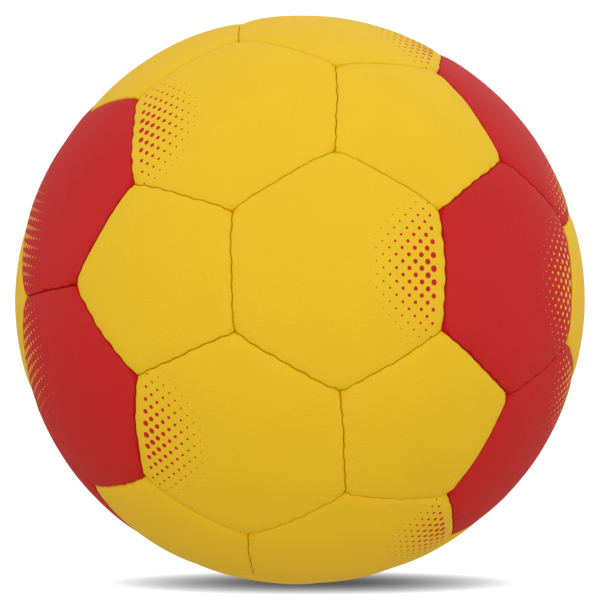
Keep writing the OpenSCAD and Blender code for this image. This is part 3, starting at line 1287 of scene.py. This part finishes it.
def stitches_of(panel):
    n = panel["sides"]
    clear = HALF_GAP + SKIN_T + LAY + LINING_T + THREAD_R + LAY
    height = seam_r - SKIN_T - FOAM_T - LINING_T - THREAD_R - BELOW_LINING
    found = []
    for k in range(n):
        for stitch in range(STITCHES):
            reach = np.array(STITCH_REACH)
            if stitch == 0:
                reach = 1 - (1 - reach) * CORNER_STITCH
            if stitch == STITCHES - 1:
                reach = reach * CORNER_STITCH
            t = 0.5 + (stitch - STITCHES / 2 + reach) * STITCH_MM / seam_length
            inset = clear + np.array(STITCH_OUT)
            path = beside_seam(n, k, t, inset, 0, height + 0 * t)
            points, faces = tube(path, THREAD_R)
            found.append((onto_ball(panel, points), faces))
    return found


for sides, kind in ((5, "pentagons"), (6, "hexagons")):
    sewn = [part for panel in PANELS if panel["sides"] == sides for part in stitches_of(panel)]
    points, faces = join_parts(sewn)
    rows = make_piece(f"stitches_of_{kind}", points, faces, thread, [f"thread_{kind}"])
    print(rows.name, "stitches:", len(sewn))

# %% [markdown]
# ## Rubbers
#
# Four rubbers are left. The butyl of the bladder is dull with talc, which keeps it from
# sticking to the lining. The patch is rubber pressed onto cloth, and duller still. The valve's
# barrel is EPDM from a smooth steel mould and has the most sheen, and the soft grey insert
# comes close to it. All four are one tone with lighter specks, so one function makes them all,
# each with its own shades and size of speck.

# %% Rubber finish
RUBBER_RELIEF_MM = 0.02


def moulded_rubber(name, base, bloom, roughness, speck_mm):
    material, tree = new_material(name)
    place = add_node(tree, "ShaderNodeTexCoord").outputs["Object"]
    specks = add_node(
        tree,
        "ShaderNodeTexNoise",
        {"Vector": place, "Scale": per_size(speck_mm), "Detail": 4.0},
    )
    shade = add_node(
        tree,
        "ShaderNodeMix",
        {0: specks.outputs["Fac"], 6: linear(base), 7: linear(bloom)},
        data_type="RGBA",
    )
    gloss = {"roughness": roughness, "ior": 1.52}
    close_finish(tree, shade.outputs[2], specks.outputs["Fac"], RUBBER_RELIEF_MM, **gloss)
    return material


butyl = moulded_rubber("talced_butyl_rubber", "#202022", "#3C3B3B", 0.62, 2.5)
patch_rubber = moulded_rubber("cloth_backed_rubber", "#2E2E30", "#454546", 0.7, 0.8)
valve_rubber = moulded_rubber("moulded_epdm_rubber", "#18181A", "#2A2A2C", 0.45, 0.6)
insert_rubber = moulded_rubber("soft_grey_insert_rubber", "#434346", "#555558", 0.5, 0.6)
print("rubbers:", butyl.name, patch_rubber.name, valve_rubber.name, insert_rubber.name)

# %% [markdown]
# ## Bladder
#
# The bladder is blown out against a mould in two halves while it cures, which leaves a fine
# raised line where the halves meet. It is built as rings round the valve's axis, outside and
# inside, with the opening for the valve.

# %% Bladder shape
BLADDER_T = 1
BLADDER_HOLE_R = 4.2
AROUND = 96
BLADDER_STEPS = 48
MOULD_LINE_HIGH = 0.15
MOULD_LINE_WIDE = 0.03

valve_panel = next(p for p in PANELS if p["name"] == VALVE_PANEL)


def bladder_rings(radius, line_high):
    around = np.arange(AROUND) * 2 * math.pi / AROUND
    line = line_high * np.exp(-((np.sin(around) / MOULD_LINE_WIDE) ** 2))
    first = math.asin(BLADDER_HOLE_R / radius)
    rings = []
    for polar in np.linspace(first, math.pi, BLADDER_STEPS + 1)[:-1]:
        across = (radius + line) * math.sin(polar)
        height = (radius + line) * math.cos(polar)
        ring = [across * np.cos(around), across * np.sin(around), height]
        rings.append(np.stack(ring, axis=1))
    rings.append(np.array([[0.0, 0.0, -radius]]))
    return rings


def bladder_shell():
    outside, faces = close_rings(bladder_rings(bladder_r, MOULD_LINE_HIGH))
    inside, inner_faces = close_rings(bladder_rings(bladder_r - BLADDER_T, 0))
    first = len(outside)
    faces += [tuple(first + i for i in face[::-1]) for face in inner_faces]
    faces += bridge([first + i for i in range(AROUND)], list(range(AROUND)))
    return np.concatenate([outside, inside]), faces


points, faces = bladder_shell()
make_piece("butyl_bladder", points @ valve_panel["matrix"].T, faces, butyl, ["bladder"])
print("bladder faces:", len(faces))

# %% [markdown]
# ## Patch and valve
#
# Round the valve the lining is strengthened with a disc of cloth-backed rubber that follows
# the panel's dome. Its rim is rounded so that it can't chafe the bladder. The valve is moulded
# and round about its axis, and the measured solids already have that shape. So they stay and
# only get their rubbers: a hard black barrel and a softer grey insert that the needle goes
# through.

# %% Patch and valve
PATCH_T = 0.8
PATCH_R = 11
PATCH_LAY = 0.05
PATCH_RIM = 0.4
PATCH_BEVEL = 0.15
PATCH_RINGS = [7, 9.4]


def patch_rings():
    around = np.arange(AROUND) * 2 * math.pi / AROUND
    top = SKIN_T + FOAM_T + LINING_T + PATCH_LAY
    profile = [(BARREL_HOLE_R, PATCH_BEVEL), (BARREL_HOLE_R + PATCH_BEVEL, 0)]
    profile += [(r, 0) for r in PATCH_RINGS]
    for step in range(ROLL_STEPS + 1):
        angle = math.pi * step / ROLL_STEPS
        rim_r = PATCH_R - PATCH_RIM + PATCH_RIM * math.sin(angle)
        profile.append((rim_r, PATCH_RIM * (1 - math.cos(angle))))
    profile += [(r, PATCH_T) for r in PATCH_RINGS[::-1]]
    profile.append((BARREL_HOLE_R, PATCH_T))
    return [hole_ring(valve_panel, around, r, top + down) for r, down in profile]


points, faces = close_rings(patch_rings(), pierced=True)
placed = points @ valve_panel["matrix"].T
make_piece("valve_patch_disc", placed, faces, patch_rubber, ["valve_patch"])

for node, rubber in (("valve_body", valve_rubber), ("valve_insert", insert_rubber)):
    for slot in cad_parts[node].material_slots:
        slot.material = rubber
    print(node, "slots:", len(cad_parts[node].material_slots))

# %% [markdown] ## Size and finish  The dressed ball has to keep the measured size, to
# within a tenth of a millimetre for its unevenness.
